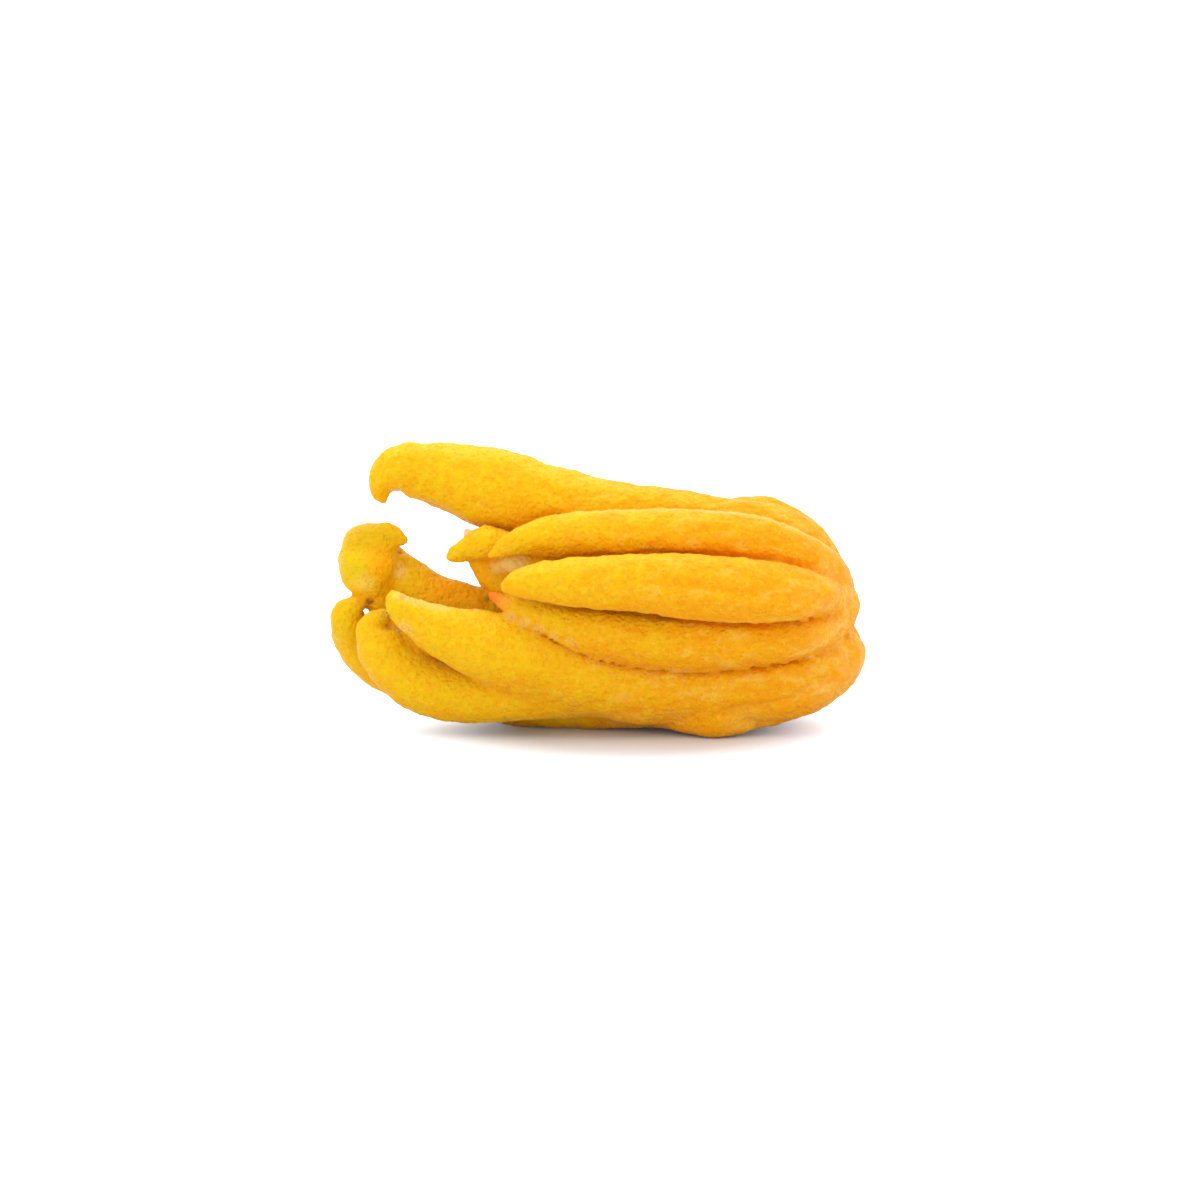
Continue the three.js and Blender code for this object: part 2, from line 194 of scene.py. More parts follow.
# Where one finger hides the edge of the next: which way the hidden skin faces, depth and
# reach of the undercut, then x and height along it.
UNDERCUTS = [
    (1, 3.3, 2.4, [(-25, 44.2), (-6, 42.6), (15, 41), (34, 39.4), (47, 38.3), (60, 37.9),
                   (70, 38.9), (77, 41), (83, 44.4), (87, 48)]),
    (1, 3.3, 2.4, [(-27, 36.6), (-14, 31.4), (-1.5, 26.8), (14, 23.6), (28.5, 22.6),
                   (46, 22.8), (60.6, 24.8), (71.3, 27.4), (80, 29.6)]),
    (1, 1.2, 2.4, [(-60, 26), (-53, 21.5), (-42, 17.2), (-32, 13.9), (-27, 12.5)]),
    (-1, 2.2, 2.4, [(-25, 59.7), (-6, 63), (15, 63.6), (34, 63.2), (54, 61.7), (67, 59),
                    (79, 55)]),
    (-1, 2.0, 2.4, [(-26, 74.6), (-6, 78.8), (15, 80), (34, 79.7), (54, 77.4), (68.6, 73.4),
                    (79, 67)]),
]
SNAP, SNAP_STEPS = 2.4, 8   # how far up and down a fold is looked for beside its line
SNAP_PULL = 0.3         # how much nearer the line counts against deeper
LINE_STEP = 1.2         # distance between places on a line
FADE, FADED = 0.15, 0.15    # part of a line over which it fades, and what is left at its ends
TURNED = 0.2            # how far up or down the normal points where the undercut is full

# Painted highlight along upper edges, a pale line where light catches them: how strongly, then x
# and height along it.
RIM_HIGHLIGHTS = [
    (0.10, [(-12, 78), (6, 80), (20, 80.6)]),
    (0.20, [(20, 80.6), (34, 80.3), (54, 78), (68.6, 74), (80, 66.5)]),
]
CREST_STEP, CREST_STEPS = 0.3, 12   # search up and down for the crest beside the line
CREST_DROP = 3.5        # how far back the view has to fall behind a crest
RIM_FULL, RIM_END = 0.9, 3.2        # where the painted highlight is full and where it ends

# Tints that several marks share.
# The first is partly a painted highlight; the third tints a painted highlight along an upper edge.
BUTTER, STRAW, EDGE_HIGHLIGHT_TINT = (1.0, 0.72, 0.22), (0.96, 0.64, 0.26), (1.0, 0.76, 0.30)
SCUFF, DUSK = (0.84, 0.62, 0.42), (0.68, 0.38, 0.003)

# Tints and marks of the peel as seen from the front, some of them painted light and shade: x,
# height and reach in millimetres, colour, strength, and how broken up the mark is (0 even, 1 only
# flecks).
MARKS = [
    (-37, 48.5, 7, (0.88, 0.19, 0.015), 0.9, 0.0),
    (-41, 54, 8, (0.97, 0.45, 0.006), 0.7, 0.0),
    (-33, 45.5, 5, (0.92, 0.34, 0.04), 0.6, 0.1),
    # A pale patch on the hidden finger between the upper tips: partly paler peel, partly a painted
    # highlight.
    (-36, 58.2, 3.6, BUTTER, 0.75, 0.1),
    (-32, 58.4, 5, BUTTER, 0.85, 0.1),
    (-27.5, 59.8, 4, BUTTER, 0.7, 0.1),
    (-30.5, 40.8, 3.4, STRAW, 0.32, 0.2),
    (-26, 38.6, 3.4, STRAW, 0.32, 0.2),
    (-21, 36.2, 3.4, STRAW, 0.32, 0.2),
    (-15.5, 33.8, 3.4, STRAW, 0.35, 0.4),
    (-9.5, 31.6, 3.4, STRAW, 0.35, 0.4),
    (-39.8, 46.9, 2.2, (0.24, 0.20, 0.02), 0.8, 0.2),
    # Orange of the hook's stalk, partly its own colour and partly painted light that brightens it
    # where it lies in shade.
    (-52, 51.6, 17, (1.0, 0.44, 0.01), 0.8, 0.3),
    (-56, 49.5, 7, (0.95, 0.36, 0.004), 0.5, 0.2),
    (-71, 63, 4.5, (0.95, 0.66, 0.30), 0.6, 0.4),
    (-70.5, 57, 4.5, (0.95, 0.62, 0.24), 0.55, 0.4),
    # Painted highlight: a pale patch in the hollow under the hook's head where it catches light.
    (-83, 52.5, 6, (0.93, 0.60, 0.10), 0.5, 0.2),
    (-88, 59, 11, (0.74, 0.51, 0.006), 0.55, 0.0),
    # Painted shade: deeper orange in the hollow below the hook's head.
    (-76.5, 60, 8.5, (0.98, 0.39, 0.003), 0.75, 0.0),
    (-93, 37, 12, (0.76, 0.48, 0.003), 0.5, 0.0),
    (-83, 70.5, 11, DUSK, 0.75, 0.0),
    (-74, 70.5, 6, DUSK, 0.6, 0.0),
    (-80, 38, 7, (0.84, 0.42, 0.003), 0.5, 0.0),
    (-83.1, 46.6, 4.2, (0.85, 0.31, 0.004), 0.6, 0.0),
    (-46.3, 71, 4, (0.93, 0.66, 0.42), 0.8, 0.1),
    (-47, 62.8, 6, (0.84, 0.50, 0.002), 0.5, 0.0),
    (-74.8, 41.8, 4.5, (0.50, 0.20, 0.04), 0.8, 0.5),
    (-71.8, 38, 5.5, (0.42, 0.18, 0.04), 0.85, 0.6),
    (-71.8, 38, 6.5, (0.88, 0.60, 0.36), 0.6, 0.7),
    (-69.2, 35.8, 3.4, (0.42, 0.16, 0.05), 0.85, 0.5),
    (-67.5, 36.0, 5.5, (0.90, 0.64, 0.38), 0.6, 0.65),
    (-81.4, 46, 2.4, (0.30, 0.12, 0.02), 0.9, 0.1),
    (-68.3, 47.6, 2.2, (0.40, 0.16, 0.03), 0.8, 0.4),
    # Painted highlight along the upper edge of the lower long finger near its tip.
    (-69, 48.0, 4, EDGE_HIGHLIGHT_TINT, 0.28, 0.1),
    (-65.5, 46.8, 4, EDGE_HIGHLIGHT_TINT, 0.3, 0.1),
    (-62, 45.7, 4, EDGE_HIGHLIGHT_TINT, 0.3, 0.1),
    (-58, 44.7, 4, EDGE_HIGHLIGHT_TINT, 0.3, 0.1),
    (-54, 43.6, 4, EDGE_HIGHLIGHT_TINT, 0.28, 0.1),
    (-61, 39.5, 3, (0.55, 0.26, 0.05), 0.5, 0.7),
    (-10, 28.3, 6, SCUFF, 0.5, 0.8),
    (-2, 25.6, 6, SCUFF, 0.5, 0.8),
    (7, 22.8, 7, SCUFF, 0.5, 0.8),
    (17, 20.8, 7, SCUFF, 0.5, 0.8),
    (28, 19.6, 7, SCUFF, 0.5, 0.8),
    (38, 19.3, 7, SCUFF, 0.45, 0.85),
    (46, 18.2, 8, SCUFF, 0.35, 0.9),
    # Amber of the underside, partly its own colour and partly painted light that brightens it
    # where it lies in shade.
    (-14, 2.5, 14, (1.0, 0.50, 0.006), 1.0, 0.0),
    (52, 2.5, 12, (0.96, 0.52, 0.05), 0.5, 0.0),
    (28, 5, 7, (0.80, 0.60, 0.42), 0.6, 0.8),
]

# Places where two fingers run into one another smoothly: x, y, z and reach, in millimetres.
JOINS = [(-18, -30, 14, 16), (0, -28, 12, 14), (18, -30, 12, 11), (-72, -7, 54, 12),
         (-79, -5, 73, 9)]


# ---------------------------------------------------------------- settings


class CitronSettings(bpy.types.PropertyGroup):
    voxel: FloatProperty(
        name="Skin grain", description="Size of the skin's mesh cells",
        default=0.00095, min=0.0008, max=0.004, precision=5, unit="LENGTH")
    ridge: FloatProperty(
        name="Ridge depth", description="Lengthwise ridges as a part of the finger's radius",
        default=0.05, min=0.0, max=0.2, subtype="FACTOR")
    swell: FloatProperty(
        name="Swellings", description="Height of the broad uneven swellings",
        default=0.0014, min=0.0, max=0.005, precision=5, unit="LENGTH")
    lump: FloatProperty(
        name="Lumps", description="Height of the soft lumps of the peel",
        default=0.0011, min=0.0, max=0.004, precision=5, unit="LENGTH")
    pimple: FloatProperty(
        name="Pimples", description="Height of the small bumps over the oil glands",
        default=0.0006, min=0.0, max=0.002, precision=5, unit="LENGTH")
    yellow: FloatVectorProperty(
        name="Yellow peel", description="Colour of the fingers' tops and tips",
        subtype="COLOR", size=4, min=0, max=1, default=(0.85, 0.52, 0.002, 1))
    # The palm's own colour, also used for painted shade low on the fingers and in the folds.
    amber: FloatVectorProperty(
        name="Amber peel", description="Colour round the palm and low on the fingers",
        subtype="COLOR", size=4, min=0, max=1, default=(0.90, 0.36, 0.002, 1))
    # Painted shade: the deeper orange that stands in for shade deep in the folds.
    fold_shade: FloatVectorProperty(
        name="Fold colour", description="Colour deep in the folds",
        subtype="COLOR", size=4, min=0, max=1, default=(0.73, 0.24, 0.002, 1))


# Colours of the peel beyond the three above, then of the bark, each with its alpha.
# Paler tint painted on the skin that faces up: a painted highlight.
LIT_TOP_TINT = (0.92, 0.67, 0.03, 1)
GLAND = (0.90, 0.36, 0.002, 1)
FLECK = (0.96, 0.66, 0.08, 1)
CREAM = (0.93, 0.57, 0.09, 1)
DEEP = (0.88, 0.31, 0.001, 1)
BLOOM = (0.92, 0.60, 0.30, 1)
# Pale tint of the painted highlight along the upper edges.
RIM_HIGHLIGHT_TINT = (1.0, 0.84, 0.42, 1)
BARK_DARK, BARK_PALE = (0.10, 0.065, 0.025, 1), (0.33, 0.24, 0.10, 1)

# Soft shine and depth of the peel, and how high its relief stands, in metres.
PEEL_SHINE = {
    "Specular IOR Level": 0.08,
    "Sheen Weight": 0.16,
    "Sheen Roughness": 0.22,
    "Sheen Tint": (1.0, 0.92, 0.6, 1),
    "Subsurface Weight": 0.1,
    "Subsurface Radius": (1.0, 0.5, 0.05),
    "Subsurface Scale": 0.0015,
}
PEEL_RELIEF, BARK_RELIEF = 0.0006, 0.0005
BROKEN_FROM, BROKEN_BY, BROKEN_SOFT = 0.28, 0.34, 0.12      # fleck noise that breaks up a mark

# The stage: camera, light and table.
LENS, SENSOR = 100, 36          # millimetres
AIM_AT = (0.5, 0.0, 46.4)       # millimetres, as drawn
CAMERA_UP, CAMERA_AWAY = 8, 1.1926      # degrees and metres
SUN_POWER, SUN_SOFT = 1.45, 90          # watts a square metre and degrees
TABLE, TABLE_SIZE = (0.78, 0.86, 0.95, 1), 6
TABLE_ROUGH = 0.6
GLOW_NEAR, GLOW_FAR = (0.02, 0.022, 0.028, 1), (0.55, 0.6, 0.68, 1)
GLOW_SHIFT, GLOW_WIDE, GLOW_DEEP = (-0.13, 0.2, 0.0), 0.08, 0.075    # an oval, in metres
GLOW_FROM, GLOW_FULL = 0.4, 1.1         # parts of the oval where it sets in and is full
SKY, SKY_SEEN = 1.1, 0.2                # strength, and what is added where it is seen
SUN_AT, SUN_TO = (-0.15, 0.25, 1.0), (0, 0, 0.045)      # metres


def settings():
    return bpy.context.scene.citron


# ---------------------------------------------------------------- modelling helpers


def deselect_all():
    if bpy.context.object and bpy.context.object.mode != "OBJECT":
        bpy.ops.object.mode_set(mode="OBJECT")
    bpy.ops.object.select_all(action="DESELECT")


def only(obj):
    deselect_all()
    obj.select_set(True)
    bpy.context.view_layer.objects.active = obj


def add_modifier(obj, kind, **values):
    """One modifier with its values, applied straight away."""
    only(obj)
    mod = obj.modifiers.new(kind.title(), kind)
    for key, value in values.items():
        setattr(mod, key, value)
    bpy.ops.object.modifier_apply(modifier=mod.name)


def clouds(name, size, depth):
    """Cloud noise for a modifier."""
    tex = bpy.data.textures.new(name, "CLOUDS")
    tex.noise_scale = size
    tex.noise_depth = depth
    return tex


def weigh(obj, name, rule):
    """A vertex group with a weight for every vertex from its place."""
    group = obj.vertex_groups.new(name=name)
    for v in obj.data.vertices:
        w = rule(v.co)
        if w > 0:
            group.add([v.index], min(w, 1.0), "REPLACE")
    return group.name


def ramp(value, start, end):
    t = max(0.0, min(1.0, (value - start) / (end - start)))
    return t * t * (3 - 2 * t)


def near(co, place, reach):
    """1 at the place, falling to 0 at the reach."""
    return 1 - ramp((co - place).length, 0.0, reach)


def even(obj, steps, group=""):
    """Smooths the mesh, all of it or a vertex group."""
    add_modifier(obj, "SMOOTH", factor=0.5, iterations=steps, vertex_group=group)


def smoothed_copy(obj, steps):
    only(obj)
    bpy.ops.object.duplicate()
    soft = bpy.context.object
    even(soft, steps)
    places = [v.co.copy() for v in soft.data.vertices]
    bpy.data.objects.remove(soft)
    return places


def store(obj, name, values):
    attribute = obj.data.attributes.new(name, "FLOAT", "POINT")
    attribute.data.foreach_set("value", values)


def store_folds(obj):
    """fold: how far the skin lies below its own smoothed shape. facing: 1 up, -1 down."""
    soft = smoothed_copy(obj, FOLD_STEPS)
    deep = [(w - v.co).dot(v.normal) for v, w in zip(obj.data.vertices, soft)]
    store(obj, "fold", [d / (FOLD_DEEP * MM) for d in deep])
    store(obj, "facing", [v.normal.z for v in obj.data.vertices])


def sharpen(obj, steps, strength):
    """Deepens the folds between the fingers against a smoothed copy."""
    soft = smoothed_copy(obj, steps)
    moves = []
    for v, w in zip(obj.data.vertices, soft):
        sunk = (w - v.co).dot(v.normal)
        moves.append(v.normal * (-strength * max(0.0, sunk - SLACK * MM)))
    for v, step in zip(obj.data.vertices, moves):
        v.co += step


def look(tree, x, height, shift):
    """The skin seen from the front at this place: its point and how far away it is."""
    sight = Vector((0, 1, -LOOK_DOWN)).normalized()
    hit = tree.ray_cast(Vector((x, 0, height)) * MM + shift - sight * LOOK_FROM, sight)
    return hit[0], hit[3]


def along(line, step, length=math.hypot):
    """Places on a drawn line, about a step apart by this measure of length."""
    for (x1, h1), (x2, h2) in zip(line, line[1:]):
        count = max(1, round(length(x2 - x1, h2 - h1) / step))
        for k in range(count):
            yield x1 + (x2 - x1) * k / count, h1 + (h2 - h1) * k / count


def nearest(places):
    """A lookup of the nearest of these places."""
    tree = KDTree(len(places))
    for i, place in enumerate(places):
        tree.insert(place, i)
    tree.balance()
    return tree


def press_line(obj, line, depth, reach, facing=0):
    """A furrow, or with a negative depth a ridge, along a line seen from the front.

    With a facing of 1 or -1 it is an undercut: it finds the deepest place near the line,
    goes straight back, and takes only the skin that faces up or down."""
    tree = BVHTree.FromObject(obj, bpy.context.evaluated_depsgraph_get())
    way = []
    tries = [SNAP * i / SNAP_STEPS for i in range(-SNAP_STEPS, SNAP_STEPS + 1)]
    for x, h in along(line, LINE_STEP):
        seen = []
        for t in (tries if facing else [0.0]):
            place, distance = look(tree, x, h + t, Vector())
            if place:
                seen.append((distance - SNAP_PULL * abs(t) * MM, place))
        if seen:
            way.append(max(seen, key=lambda pair: pair[0])[1])
    lookup = nearest(way)
    moves = []
    for v in obj.data.vertices:
        _, index, distance = lookup.find(v.co)
        if distance < reach * MM:
            end = min(index, len(way) - 1 - index) / (FADE * len(way))
            fall = 1 - ramp(distance, 0.0, reach * MM)
            step = depth * MM * fall * min(1.0, FADED + end)
            if not facing:
                moves.append((v, v.normal * -step))
            else:
                turned = ramp(v.normal.z * facing, 0.0, TURNED)
                moves.append((v, Vector((0, step * turned, 0))))
    for v, step in moves:
        v.co += step
    return way


def store_rim_highlights(obj):
    """rim: strength of the painted highlight beside the crests, found where the front view falls
    away.
    """
    tree = BVHTree.FromObject(obj, bpy.context.evaluated_depsgraph_get())
    crest = []
    for strength, line in RIM_HIGHLIGHTS:
        for x, h in along(line, 1.0, lambda across, up: across):
            last = None
            for i in range(-CREST_STEPS, CREST_STEPS + 1):
                place, distance = look(tree, x, h + CREST_STEP * i, ORIGIN)
                if last and (not place or distance - last[1] > CREST_DROP * MM):
                    crest.append((last[0], strength))
                    break
                if place:
                    last = (place, distance)
    lookup = nearest([place for place, _ in crest])
    values = []
    for v in obj.data.vertices:
        _, index, distance = lookup.find(v.co)
        values.append(crest[index][1] * (1 - ramp(distance, RIM_FULL * MM, RIM_END * MM)))
    store(obj, "rim", values)


def keep_outer_skin(obj):
    """Drops the small closed pockets left inside where fingers meet."""
    only(obj)
    bpy.ops.object.mode_set(mode="EDIT")
    bpy.ops.mesh.select_mode(type="VERT")
    bpy.ops.mesh.select_all(action="DESELECT")
    bpy.ops.object.mode_set(mode="OBJECT")
    max(obj.data.vertices, key=lambda v: v.co.z).select = True
    bpy.ops.object.mode_set(mode="EDIT")
    bpy.ops.mesh.select_linked()
    bpy.ops.mesh.select_all(action="INVERT")
    bpy.ops.mesh.delete(type="VERT")
    bpy.ops.object.mode_set(mode="OBJECT")


def section(name, seed, depth):
    """A finger's cross-section: a circle with a few uneven lengthwise ridges."""
    deselect_all()
    bpy.ops.curve.primitive_bezier_circle_add(radius=MM)
    ring = bpy.context.object
    ring.name = name
    bpy.ops.object.mode_set(mode="EDIT")
    bpy.ops.curve.select_all(action="SELECT")
    bpy.ops.curve.subdivide(number_cuts=1)
    bpy.ops.curve.handle_type_set(type="AUTOMATIC")
    bpy.ops.object.mode_set(mode="OBJECT")
    points = ring.data.splines[0].bezier_points
    for i, p in enumerate(points):
        p.co *= 1 + depth * math.sin(2.4 * i * (seed + 1.3) + seed)
    return ring


def draw_finger(name, route, ring, turn):
    """A curve through the route, as thick as the route says, made into a mesh."""
    line = [(Vector(p[:3]) * MM, p[3]) for p in route]
    end, before = line[-1], line[-2]
    outward = (end[0] - before[0]).normalized()
    line.append((end[0] + outward * end[1] * END_REACH * MM, end[1] * END_THICK))
    start, after = line[0], line[1]
    outward = (start[0] - after[0]).normalized()
    line.insert(0, (start[0] + outward * start[1] * END_REACH * MM, start[1] * END_THICK))
    deselect_all()
    bpy.ops.curve.primitive_bezier_curve_add()
    curve = bpy.context.object
    curve.name = name
    data = curve.data
    spline = data.splines[0]
    spline.bezier_points.add(len(line) - 2)
    for p, (place, radius) in zip(spline.bezier_points, line):
        p.co = place
        p.handle_left_type = p.handle_right_type = "AUTO"
        p.radius = radius
        p.tilt = turn
    spline.radius_interpolation = "CARDINAL"
    data.resolution_u = 6
    data.bevel_mode = "OBJECT"
    data.bevel_object = ring
    data.use_fill_caps = True
    only(curve)
    bpy.ops.object.convert(target="MESH")
    return bpy.context.object


def join(objects, name):
    deselect_all()
    for o in objects:
        o.select_set(True)
    bpy.context.view_layer.objects.active = objects[0]
    bpy.ops.object.join()
    joined = bpy.context.object
    joined.name = name
    joined.data.name = name
    return joined


# ---------------------------------------------------------------- materials


class Net:
    """Short calls for wiring one node tree."""

    def __init__(self, tree):
        self.tree = tree

    def node(self, kind, **values):
        n = self.tree.nodes.new(kind)
        for key, value in values.items():
            setattr(n, key, value)
        return n

    def put(self, socket, value):
        if isinstance(value, bpy.types.NodeSocket):
            self.tree.links.new(value, socket)
        else:
            socket.default_value = value

    def math(self, op, a, b=0.0, c=None, clamp=False):
        n = self.node("ShaderNodeMath", operation=op, use_clamp=clamp)
        self.put(n.inputs[0], a)
        self.put(n.inputs[1], b)
        if c is not None:
            self.put(n.inputs[2], c)
        return n.outputs[0]

    def span(self, value, low, high, to_low=0.0, to_high=1.0):
        n = self.node("ShaderNodeMapRange", interpolation_type="SMOOTHSTEP")
        for i, v in enumerate((value, low, high, to_low, to_high)):
            self.put(n.inputs[i], v)
        return n.outputs[0]

    def noise(self, place, scale, detail=2.0, rough=0.5):
        n = self.node("ShaderNodeTexNoise")
        self.put(n.inputs["Vector"], place)
        n.inputs["Scale"].default_value = scale
        n.inputs["Detail"].default_value = detail
        n.inputs["Roughness"].default_value = rough
        return n.outputs["Fac"]

    def cells(self, place, scale):
        n = self.node("ShaderNodeTexVoronoi")
        self.put(n.inputs["Vector"], place)
        n.inputs["Scale"].default_value = scale
        return n.outputs["Distance"]

    def within(self, place, centre, reach):
        """1 at the centre, falling to 0 at the reach."""
        n = self.node("ShaderNodeVectorMath", operation="DISTANCE")
        self.put(n.inputs[0], place)
        n.inputs[1].default_value = centre
        return self.span(n.outputs["Value"], 0.2 * reach, reach, 1.0, 0.0)

    def stored(self, name):
        """A value kept on the skin under this name."""
        return self.node("ShaderNodeAttribute", attribute_name=name).outputs["Fac"]

    def relief(self, shader, height, strength, distance):
        n = self.node("ShaderNodeBump")
        n.inputs["Strength"].default_value = strength
        n.inputs["Distance"].default_value = distance
        self.put(n.inputs["Height"], height)
        self.put(shader.inputs["Normal"], n.outputs[0])

    def mix(self, fac, a, b):
        n = self.node("ShaderNodeMix", data_type="RGBA")
        self.put(n.inputs["Factor"], fac)
        self.put(n.inputs[6], a)
        self.put(n.inputs[7], b)
        return n.outputs[2]


def new_material(name):
    mat = bpy.data.materials.new(name)
    mat.use_nodes = True
    net = Net(mat.node_tree)
    shader = mat.node_tree.nodes["Principled BSDF"]
    place = net.node("ShaderNodeTexCoord").outputs["Object"]
    return mat, net, shader, place


def peel_ground(net, place, toward_palm, fold, facing):
    """Yellow, turning amber near the palm; amber painted shade below and in the folds, and a pale
    painted highlight on top.
    """
    s = settings()
    patches = net.span(net.noise(place, 130, 3, 0.6), 0.40, 0.64)
    amber = net.math("MULTIPLY_ADD", toward_palm, 0.72, net.math("MULTIPLY", patches, 0.28))
    # Painted shade: more amber on the skin that faces down.
    amber = net.math("ADD", amber, net.span(facing, 0.1, -0.9, 0.0, 0.3))
    amber = net.math("ADD", amber, net.span(net.noise(place, 330, 2, 0.6), 0.42, 0.62, 0.0, 0.22))
    # Painted shade: more amber in the folds.
    amber = net.math("ADD", amber, net.span(fold, -0.1, 0.7, 0.0, 0.42), clamp=True)
    colour = net.mix(amber, tuple(s.yellow), tuple(s.amber))
    # Painted highlight: paler on the skin that faces up, less so near the palm.
    lit_top = net.math("MULTIPLY", net.span(facing, 0.35, 1.0, 0.0, 0.35),
                     net.math("SUBTRACT", 1.0, net.math("MULTIPLY", toward_palm, 0.7)))
    return net.mix(lit_top, colour, LIT_TOP_TINT)


def peel_grain(net, place, colour, dots, toward_palm):
    """Glands, pale flecks, and cream and deep orange streaks along the fingers."""
    glands = net.math("MULTIPLY", net.math("SUBTRACT", 1.0, dots), 0.24)
    colour = net.mix(glands, colour, GLAND)
    flecks = net.span(net.noise(place, 560, 3, 0.65), 0.53, 0.69)
    colour = net.mix(net.math("MULTIPLY", flecks, 0.24), colour, FLECK)
    lengthwise = net.node("ShaderNodeMapping")
    net.put(lengthwise.inputs["Vector"], place)
    lengthwise.inputs["Scale"].default_value = (0.45, 1.0, 1.0)
    streak = net.noise(lengthwise.outputs[0], 200, 4, 0.7)
    cream = net.math("MULTIPLY", toward_palm, net.span(streak, 0.52, 0.66, 0.0, 0.5))
    colour = net.mix(cream, colour, CREAM)
    deep = net.math("MULTIPLY", toward_palm, net.span(streak, 0.49, 0.38, 0.0, 0.65))
    return net.mix(deep, colour, DEEP)


def peel_marks(net, place, colour, fleck, fruit):
    """The drawn marks, each on the skin that the front view shows there."""
    tree = BVHTree.FromObject(fruit, bpy.context.evaluated_depsgraph_get())
    for x, height, reach, tint, strength, broken in MARKS:
        mask = net.within(place, look(tree, x, height, ORIGIN)[0], reach * MM)
        mask = net.math("MULTIPLY", mask, strength)
        if broken:
            low = BROKEN_FROM + BROKEN_BY * broken
            mask = net.math("MULTIPLY", mask, net.span(fleck, low, low + BROKEN_SOFT))
        colour = net.mix(mask, colour, (*tint, 1))
    return colour


def peel_material(fruit):
    mat, net, shader, place = new_material("peel")
    xyz = net.node("ShaderNodeSeparateXYZ")
    net.put(xyz.inputs[0], place)
    fold, facing, rim = (net.stored(name) for name in ("fold", "facing", "rim"))
    broad = net.noise(place, 45, 2)
    drift = net.math("ADD", xyz.outputs["X"], net.math("MULTIPLY", broad, 0.09))
    toward_palm = net.span(drift, -0.01, 0.13)
    colour = peel_ground(net, place, toward_palm, fold, facing)
    dots = net.span(net.cells(place, 560), 0.10, 0.60)
    colour = peel_grain(net, place, colour, dots, toward_palm)
    # Painted shade: deeper orange deep in the folds.
    shade_in_folds = net.span(fold, 0.5, 1.9, 0.0, 0.75)
    colour = net.mix(shade_in_folds, colour, tuple(settings().fold_shade))
    bloom = net.span(net.noise(place, 190, 3, 0.65), 0.40, 0.65, 0.0, 0.24)
    at_stem = net.span(xyz.outputs["X"], 0.06, 0.10)
    colour = net.mix(net.math("MULTIPLY", at_stem, bloom), colour, BLOOM)
    fleck = net.noise(place, 850, 3, 0.7)
    colour = peel_marks(net, place, colour, fleck, fruit)
    # Painted highlight: a pale line along the upper edges where light catches them.
    rim_highlight = net.math("MULTIPLY", rim, net.span(fleck, 0.38, 0.58, 0.35, 1.0))
    net.put(shader.inputs["Base Color"], net.mix(rim_highlight, colour, RIM_HIGHLIGHT_TINT))
    net.put(shader.inputs["Roughness"], net.span(broad, 0.3, 0.7, 0.38, 0.52))
    height = net.math("ADD", net.math("MULTIPLY", dots, 0.5), net.noise(place, 520, 2))
    net.relief(shader, height, 0.9, PEEL_RELIEF)
    for name, value in PEEL_SHINE.items():
        shader.inputs[name].default_value = value
    return mat


def wood_material():
    mat, net, shader, place = new_material("stem_wood")
    grain = net.noise(place, 900, 3, 0.6)
    colour = net.mix(net.span(grain, 0.35, 0.65), BARK_DARK, BARK_PALE)
    net.put(shader.inputs["Base Color"], colour)
    net.put(shader.inputs["Roughness"], net.span(grain, 0.3, 0.7, 0.7, 0.9))
    net.relief(shader, grain, 0.7, BARK_RELIEF)
    return mat


def table_material():
    """White, and lit by itself where the camera sees it, fading towards the fruit."""
    mat, net, shader, place = new_material("white_table")
    shader.inputs["Base Color"].default_value = TABLE
    shader.inputs["Roughness"].default_value = TABLE_ROUGH
    spread = net.node("ShaderNodeMapping")
    net.put(spread.inputs["Vector"], place)
    spread.inputs["Location"].default_value = GLOW_SHIFT
    spread.inputs["Scale"].default_value = (1 / GLOW_WIDE, 1 / GLOW_DEEP, 1.0)
    away = net.node("ShaderNodeVectorMath", operation="LENGTH")
    net.put(away.inputs[0], spread.outputs[0])
    lit = net.span(away.outputs["Value"], GLOW_FROM, GLOW_FULL)
    net.put(shader.inputs["Emission Color"], net.mix(lit, GLOW_NEAR, GLOW_FAR))
    seen = net.node("ShaderNodeLightPath").outputs["Is Camera Ray"]
    net.put(shader.inputs["Emission Strength"], seen)
    return mat


# ---------------------------------------------------------------- pieces


def grow_skin():
    """All fingers and the palm as one closed skin, evened out where they join."""
    s = settings()
    rings = [section(f"section_{i}", i, s.ridge) for i in range(SECTIONS)]
    parts = []
    for i, (name, route) in enumerate(FINGERS.items()):
        parts.append(draw_finger(name, route, rings[i % SECTIONS], SPIRAL * i))
    fruit = join(parts, "fruit_skin")
    for ring in rings:
        bpy.data.objects.remove(ring)
    add_modifier(fruit, "REMESH", mode="VOXEL", voxel_size=s.voxel)
    keep_outer_skin(fruit)
    palm = weigh(fruit, "palm", lambda co: ramp(co.x, PALM[0] * MM, PALM[1] * MM))
    even(fruit, PALM_EVEN, palm)
    spots = [(Vector(j[:3]) * MM, j[3] * MM) for j in JOINS]
    joins = weigh(fruit, "joins", lambda co: max(near(co, *spot) for spot in spots))
    even(fruit, JOIN_EVEN, joins)
    even(fruit, ALL_EVEN)
    return fruit


def press_folds(fruit):
    """Sharper folds, furrows, and undercuts with soft lips between the front fingers."""
    sharpen(fruit, SHARPEN_STEPS, SHARPEN_BY)
    for depth, reach, line in FURROWS:
        press_line(fruit, line, depth, reach)
    cut = []
    for facing, depth, reach, line in UNDERCUTS:
        cut += press_line(fruit, line, depth, reach, facing)
    lookup = nearest(cut)
    full, end = LIPS
    lips = weigh(fruit, "lips", lambda co: 1 - ramp(lookup.find(co)[2], full * MM, end * MM))
    even(fruit, LIP_EVEN, lips)


